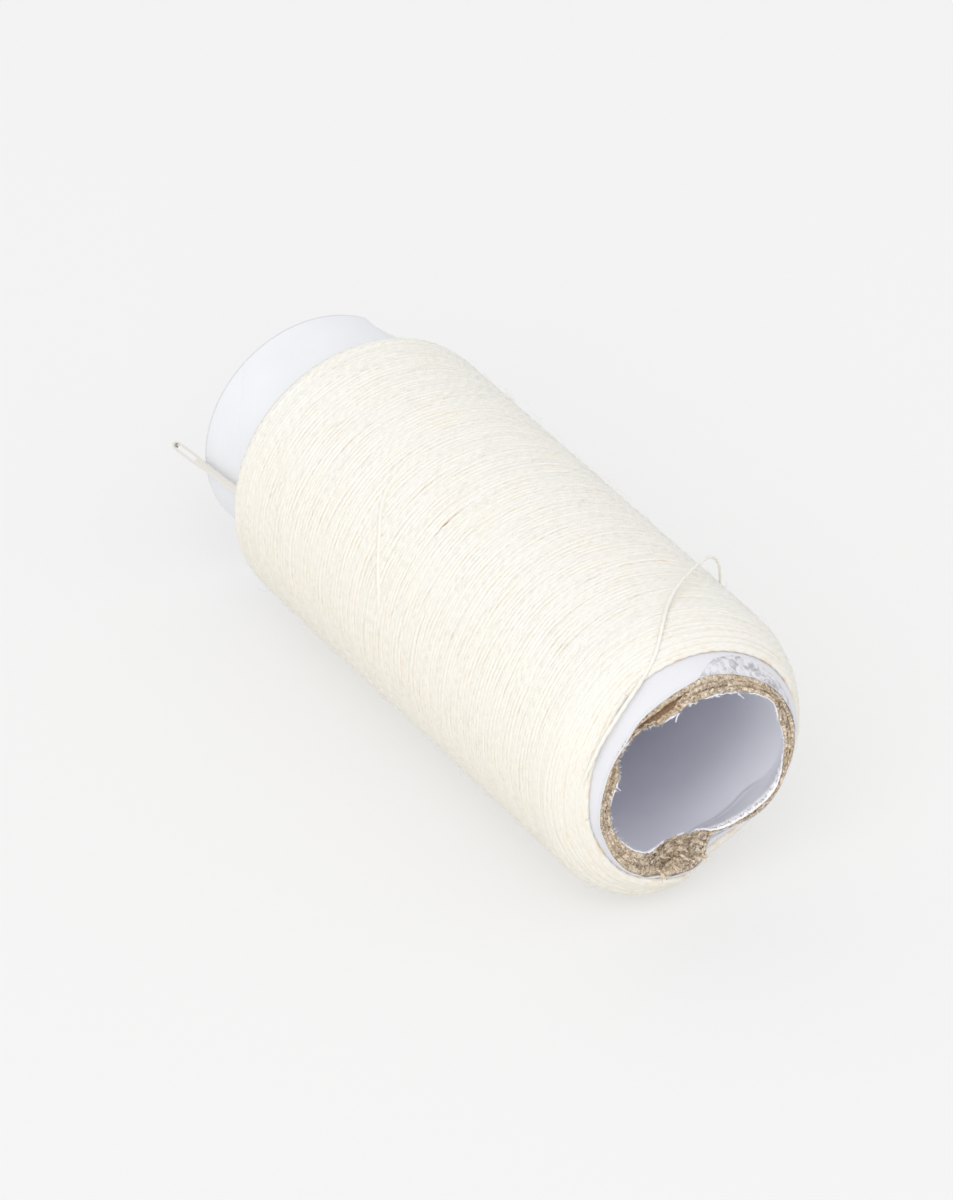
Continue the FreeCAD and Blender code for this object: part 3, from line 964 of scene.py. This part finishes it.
steps_per_turn = round(2 * math.pi * PACK_RADIUS / SECTION_STEP)
steps = round(TURNS * steps_per_turn)
turn = np.linspace(0, TURNS, steps)
pace = END_PACE + (1 - END_PACE) * blend_step(0, END_TURNS, turn) * blend_step(0, END_TURNS, TURNS - turn)
advance = np.cumsum(pace)
advance = (advance - advance[0]) / (advance[-1] - advance[0])
whole = TRAVERSES * steps
turn = np.arange(whole) / (steps - 1) * TURNS
across = np.concatenate([advance if number % 2 == 0 else 1 - advance for number in range(TRAVERSES)])
angle = (turn * 2 * math.pi + math.pi) % (2 * math.pi) - math.pi
start = winding_start(angle)
end = PACK_END - THREAD_DIAMETER / 2
distance = start + across * (end - start)
distance = distance + wander(whole, *STRAYING_ALONG) + wander(whole, *TREMBLING_ALONG)
distance = np.clip(distance, start - 0.05, end)
top = PACK_RADIUS - THREAD_DIAMETER / 2 - BEDDED * (TRAVERSES - 1 - turn / TURNS)
radius = shoulder_radius(distance, angle, top) + wander(whole, *STRAYING_OUTWARDS)
# The turns of the shoulder have slid over one another and no longer lie level.
sliding = np.clip(1 - (distance - start) / round_rim(NEAR_SHOULDER, angle, 5), 0, 1)
slid = np.clip(wander(whole, *SLIDING_OUTWARDS), -1, 1.5)
radius = radius + SLIDING_HEIGHT * np.sqrt(sliding) * slid
on_wrap = worn_radius(TUBE_RADIUS, angle, distance) + THREAD_DIAMETER * LEAST_ABOVE_WRAP
wound_line = on_spool(distance, angle, np.maximum(radius, on_wrap))
wound_line[:, 2] = np.maximum(wound_line[:, 2], THREAD_DIAMETER * LEAST_ABOVE_TABLE)
for number in range(TRAVERSES):
    last = min((number + 1) * steps + 1, whole)
    traverse = spun_thread(
        f"thread_traverse_{number + 1}", wound_line[number * steps:last], THREAD_DIAMETER, rng.uniform(0, 6)
    )
    traverse.data.materials.append(cream_thread)
    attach(traverse, "spool")
    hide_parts("wound_thread")

# The turns beneath, which show as warm lines wherever the last traverses leave a gap.
# Their cream is painted darker and warmer than the top turns': painted shade.
STREAKS_PER_MM = (0.35, 2.5, 0.35)    # long round the tube and fine along it
STREAK_RELIEF = 0.15
bedded_thread, tree = new_material("shaded_inner_turns")
place = add_node(tree, "ShaderNodeTexCoord")
streak_scale = add_node(
    tree, "ShaderNodeMapping",
    {"Vector": (place, "Object"), "Scale": tuple(number / MM for number in STREAKS_PER_MM)},
)
streaks = add_node(
    tree, "ShaderNodeTexNoise", {"Vector": (streak_scale, "Vector"), "Scale": 1.0, "Detail": 2.0}
)
streak_colour = add_node(
    tree, "ShaderNodeMix", {0: (streaks, "Fac"), 6: srgb("#e8dbb8"), 7: srgb("#f2e8cf")},
    data_type="RGBA",
)
streak_bump = add_node(
    tree, "ShaderNodeBump",
    {"Height": (streaks, "Fac"), "Strength": 0.8, "Distance": STREAK_RELIEF * MM},
)
bedded_finish = add_node(
    tree, "ShaderNodeBsdfPrincipled",
    {"Base Color": (streak_colour, 2), "Normal": (streak_bump, "Normal"), "Roughness": 0.8},
)
add_node(tree, "ShaderNodeOutputMaterial", {"Surface": (bedded_finish, "BSDF")})

SET_BACK = 0.3                # how much shorter they are than the turns over them, at each end
SHADED_DEPTH = 0.22           # how far beneath the middle of the top turns they lie
LEAST_THICKNESS = 0.03
ABOVE_WRAP = 0.02
angle = np.linspace(-math.pi, math.pi, 257)[:, None]
share = np.linspace(0, 1, 161)[None, :]
start = winding_start(angle) + SET_BACK
distance = start + (PACK_END - SET_BACK - start) * share
middle_of_top = shoulder_radius(distance - SET_BACK / 2, angle, PACK_RADIUS - THREAD_DIAMETER / 2)
inner = worn_radius(TUBE_RADIUS, angle, distance) + ABOVE_WRAP
outer = np.maximum(middle_of_top - SHADED_DEPTH, inner + LEAST_THICKNESS)
radius = np.concatenate([outer, inner[:, ::-1], outer[:, :1]], axis=1)
distance = np.concatenate([distance, distance[:, ::-1], distance[:, :1]], axis=1)
points = on_spool(distance, angle, radius)
points[-1] = points[0]
inner_turns = rolled_grid("inner_turns", points)
inner_turns.data.materials.append(bedded_thread)
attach(inner_turns, "spool")
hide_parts("wound_thread")

# One turn of the last traverse slipped over its neighbours and lies steeply across them: distance
# behind the worn rim, angle, and height above its neighbours.
SLIPPED_DIAMETER = 0.42
SLIPPED_TURN = [
    (34.6, 100, -0.25), (33.9, 110, -0.02), (33.0, 120, 0.12), (32.6, 129, 0.16), (31.6, 136, 0.17),
    (30.4, 142, 0.17), (28.9, 151, 0.16), (27.7, 160, 0.10), (26.9, 169, -0.02), (26.2, 178, -0.25),
]
distance, angle, lift = np.array(SLIPPED_TURN).T
fine = np.linspace(0, len(distance) - 1, 90)
corners = np.arange(len(distance))
slipped_line = on_spool(
    np.interp(fine, corners, distance), np.radians(np.interp(fine, corners, angle)),
    PACK_RADIUS - THREAD_DIAMETER / 2 + np.interp(fine, corners, lift),
)
for _ in range(12):
    slipped_line[1:-1] = 0.5 * slipped_line[1:-1] + 0.25 * (slipped_line[:-2] + slipped_line[2:])
slipped_turn = spun_thread("slipped_turn", slipped_line, SLIPPED_DIAMETER, valley_shaded=False)
slipped_turn.data.materials.append(cream_thread)
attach(slipped_turn, "spool")

# Loose ends of the spun fibres stand off the whole winding as a thin fuzz.
FUZZ_COUNT = 1500
FUZZ_START = 3.2
FUZZ_DIAMETER = 0.028
FUZZ_HIGHEST = 0.8
CLEAR_OF_TABLE = 0.1
FUZZ_CREST = 0.9              # it takes its colour from the outside of the turns
fuzz_lines = []
for _ in range(FUZZ_COUNT):
    angle = dice.uniform(-math.pi, math.pi)
    distance = dice.uniform(FUZZ_START, PACK_END - 0.5)
    foot = float(shoulder_radius(np.array([distance]), np.array([angle]), PACK_RADIUS - 0.1)[0])
    length = dice.uniform(0.5, 2.4)
    height = min(abs(dice.gauss(0, 0.28)), FUZZ_HIGHEST)
    swing = length / PACK_RADIUS * dice.choice((-1, 1))
    drift = dice.gauss(0, 0.35) * length
    points = on_spool(
        distance + drift * np.array([0, 0.3, 0.7, 1.0]), angle + swing * np.array([0, 0.35, 0.7, 1.0]),
        foot + height * np.array([0, 0.75, 1.0, 0.8]),
    )
    if points[:, 2].min() > CLEAR_OF_TABLE:
        fuzz_lines.append(points)
fuzz = short_fibres("thread_fuzz", fuzz_lines, FUZZ_DIAMETER)
lit = fuzz.data.attributes.new("crest", "FLOAT", "POINT")
lit.data.foreach_set("value", np.full(len(fuzz.data.vertices), FUZZ_CREST, np.float32))
fuzz.data.materials.append(cream_thread)
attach(fuzz, "spool")

# ---------------------------------------------------------------- the needle
# A hand-sewing needle of drawn steel wire, hardened and nickel plated, tucked under the outer turns
# with its eye standing out over the bare end of the tube.
POLISH_WIDTH = 0.05           # the scratches that polishing leaves, drawn out along the needle
POLISH_LENGTH = 1.5
POLISH_RELIEF = 0.005
needle_steel, tree = new_material("nickel_plated_needle_steel")
place = add_node(tree, "ShaderNodeTexCoord")
polish_scale = add_node(
    tree, "ShaderNodeMapping",
    {"Vector": (place, "Object"),
     "Scale": (1 / (POLISH_WIDTH * MM), 1 / (POLISH_LENGTH * MM), 1 / (POLISH_WIDTH * MM))},
)
polish = add_node(
    tree, "ShaderNodeTexNoise", {"Vector": (polish_scale, "Vector"), "Scale": 1.0, "Detail": 2.0}
)
polish_bump = add_node(
    tree, "ShaderNodeBump", {"Height": (polish, "Fac"), "Strength": 0.1, "Distance": POLISH_RELIEF * MM}
)
polish_range = add_node(
    tree, "ShaderNodeMapRange", {"Value": (polish, "Fac"), "To Min": 0.18, "To Max": 0.34}
)
steel_finish = add_node(
    tree, "ShaderNodeBsdfPrincipled",
    {"Base Color": srgb("#f2efe8"), "Metallic": 1.0, "Roughness": (polish_range, "Result"),
     "Normal": (polish_bump, "Normal")},
)
add_node(tree, "ShaderNodeOutputMaterial", {"Surface": (steel_finish, "BSDF")})
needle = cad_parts["needle"]
needle.data.materials.clear()
needle.data.materials.append(needle_steel)
